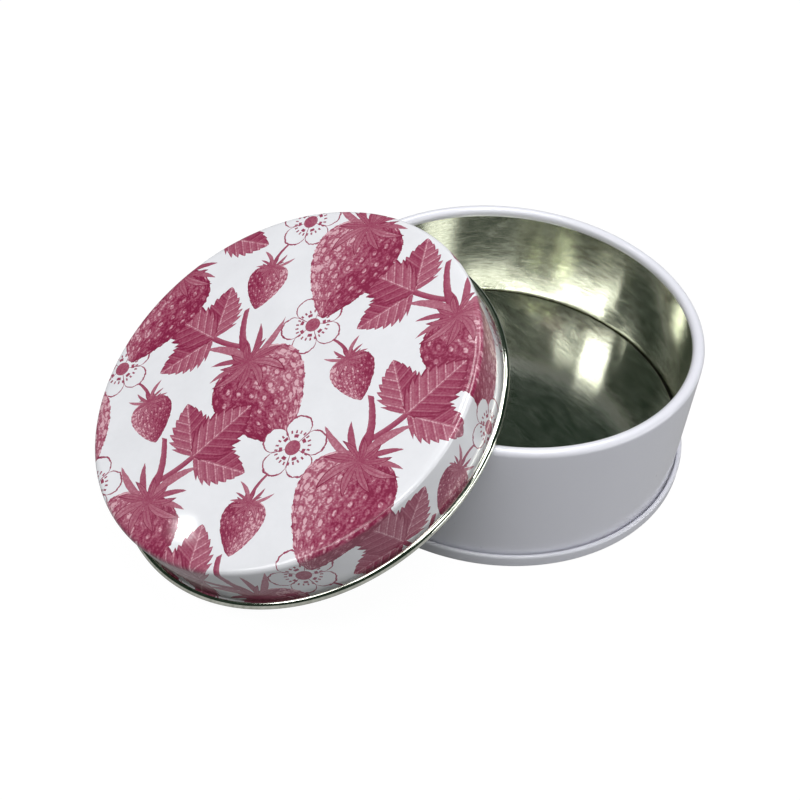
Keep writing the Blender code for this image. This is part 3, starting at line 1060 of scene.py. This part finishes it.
def white_floor():
    """A grey matte floor mixed with a glow. The glow's share is most of it for the camera, a little for rays
    that mirror or pass through something, and nothing for the light that falls on the object."""
    material = bpy.data.materials.new("white table")
    material.use_nodes = True
    tree = material.node_tree
    tree.nodes.remove(tree.nodes["Principled BSDF"])
    matte = tree.nodes.new("ShaderNodeBsdfDiffuse")
    matte.inputs["Color"].default_value = FLOOR_GREY
    glow = tree.nodes.new("ShaderNodeEmission")
    glow.inputs["Strength"].default_value = FLOOR_GLOW
    rays = tree.nodes.new("ShaderNodeLightPath")
    camera_ray = Wire(tree, rays.outputs["Is Camera Ray"])
    glossy_ray = Wire(tree, rays.outputs["Is Glossy Ray"])
    clear_ray = Wire(tree, rays.outputs["Is Transmission Ray"])
    glowing = (camera_ray * (1.0 - FLOOR_SHADE)).most(glossy_ray.most(clear_ray) * FLOOR_IN_MIRRORS)
    mix = tree.nodes.new("ShaderNodeMixShader")
    tree.links.new(glowing.socket, mix.inputs[0])
    tree.links.new(matte.outputs[0], mix.inputs[1])
    tree.links.new(glow.outputs[0], mix.inputs[2])
    tree.links.new(mix.outputs[0], tree.nodes["Material Output"].inputs["Surface"])
    return material


floor_mesh = bpy.data.meshes.new("floor")
corners = [(x * FLOOR_HALF, y * FLOOR_HALF, FLOOR_HEIGHT) for x, y in ((-1, -1), (1, -1), (1, 1), (-1, 1))]
floor_mesh.from_pydata(corners, [], [(0, 1, 2, 3)])
floor_mesh.materials.append(white_floor())
floor = bpy.data.objects.new("floor", floor_mesh)
bpy.context.scene.collection.objects.link(floor)
print("the floor is", 2 * FLOOR_HALF, "m wide")

# %% The world and the lamps
DIM_ROOM = (0.58, 1.0, 0.70, 1.0)
WHITE = (1.0, 1.0, 1.0, 1.0)
DIM = 0.03


def white_world(dim):
    """White for the camera, and a dim, slightly green room for everything that lights or mirrors: the
    strength is dim, plus the rest of 1 for a ray from the camera."""
    world = bpy.data.worlds.new("white room")
    world.use_nodes = True
    tree = world.node_tree
    background = tree.nodes["Background"]
    rays = tree.nodes.new("ShaderNodeLightPath")
    seen = Wire(tree, rays.outputs["Is Camera Ray"])
    strength = seen * (1.0 - dim) + dim
    tree.links.new(strength.socket, background.inputs["Strength"])
    tree.links.new(seen.blended(DIM_ROOM, WHITE).socket, background.inputs["Color"])
    return world


FAR = 0.8
NEAR = 0.194
LAMPS = (
    ("front left, low", 200.5, 40.5, 15.0, 11.0, 5.2, FAR),
    ("front left, high", 212.0, 53.0, 23.0, 10.0, 5.3, FAR),
    ("front, high", 251.0, 62.0, 22.5, 8.0, 8.2, FAR),
    ("front", 287.0, 52.0, 22.0, 13.0, 2.2, FAR),
    ("front right, low", 320.0, 40.0, 15.5, 18.0, 1.9, FAR),
    ("far right, near the table", 338.0, 5.5, 50.0, 9.0, 5.5, FAR),
    ("above right", 324.0, 71.0, 11.7, 10.0, 15.5, FAR),
    ("overhead", 45.0, 84.0, 20.0, 16.0, 10.8, FAR),
    ("behind right, high", 48.0, 62.0, 11.3, 8.0, 16.5, FAR),
    ("behind left, high", 144.0, 62.0, 11.3, 8.0, 9.5, FAR),
    ("pale wall behind", 112.0, 46.0, 38.0, 26.0, 0.08, FAR),
    ("small lamp close by", 177.8, 33.3, 1.9, 1.9, 24.0, NEAR),
)


def soft_lamp(name, azimuth, elevation, wide, tall, brightness, distance):
    """A rectangle of even light that faces the object. Azimuth runs from +X towards +Y, width and height are
    angles as the object sees them, all in degrees, and the distance is in metres. Power is pi times area
    times brightness, so a mirror would show it that many times as bright as white."""
    lamp_data = bpy.data.lights.new(name, 'AREA')
    lamp_data.shape = 'RECTANGLE'
    lamp_data.size = 2 * distance * tan(radians(wide / 2))
    lamp_data.size_y = 2 * distance * tan(radians(tall / 2))
    lamp_data.energy = pi * lamp_data.size * lamp_data.size_y * brightness
    lamp = bpy.data.objects.new(name, lamp_data)
    a = radians(azimuth)
    e = radians(elevation)
    towards = Vector((cos(e) * cos(a), cos(e) * sin(a), sin(e)))
    lamp.location = towards * distance
    lamp.rotation_euler = towards.to_track_quat('Z', 'Y').to_euler()
    lamp.visible_camera = False
    bpy.context.scene.collection.objects.link(lamp)


bpy.context.scene.world = white_world(DIM)
for lamp in LAMPS:
    soft_lamp(*lamp)
print("lamps:", len(LAMPS))
bpy.context.scene.view_settings.view_transform = 'Standard'
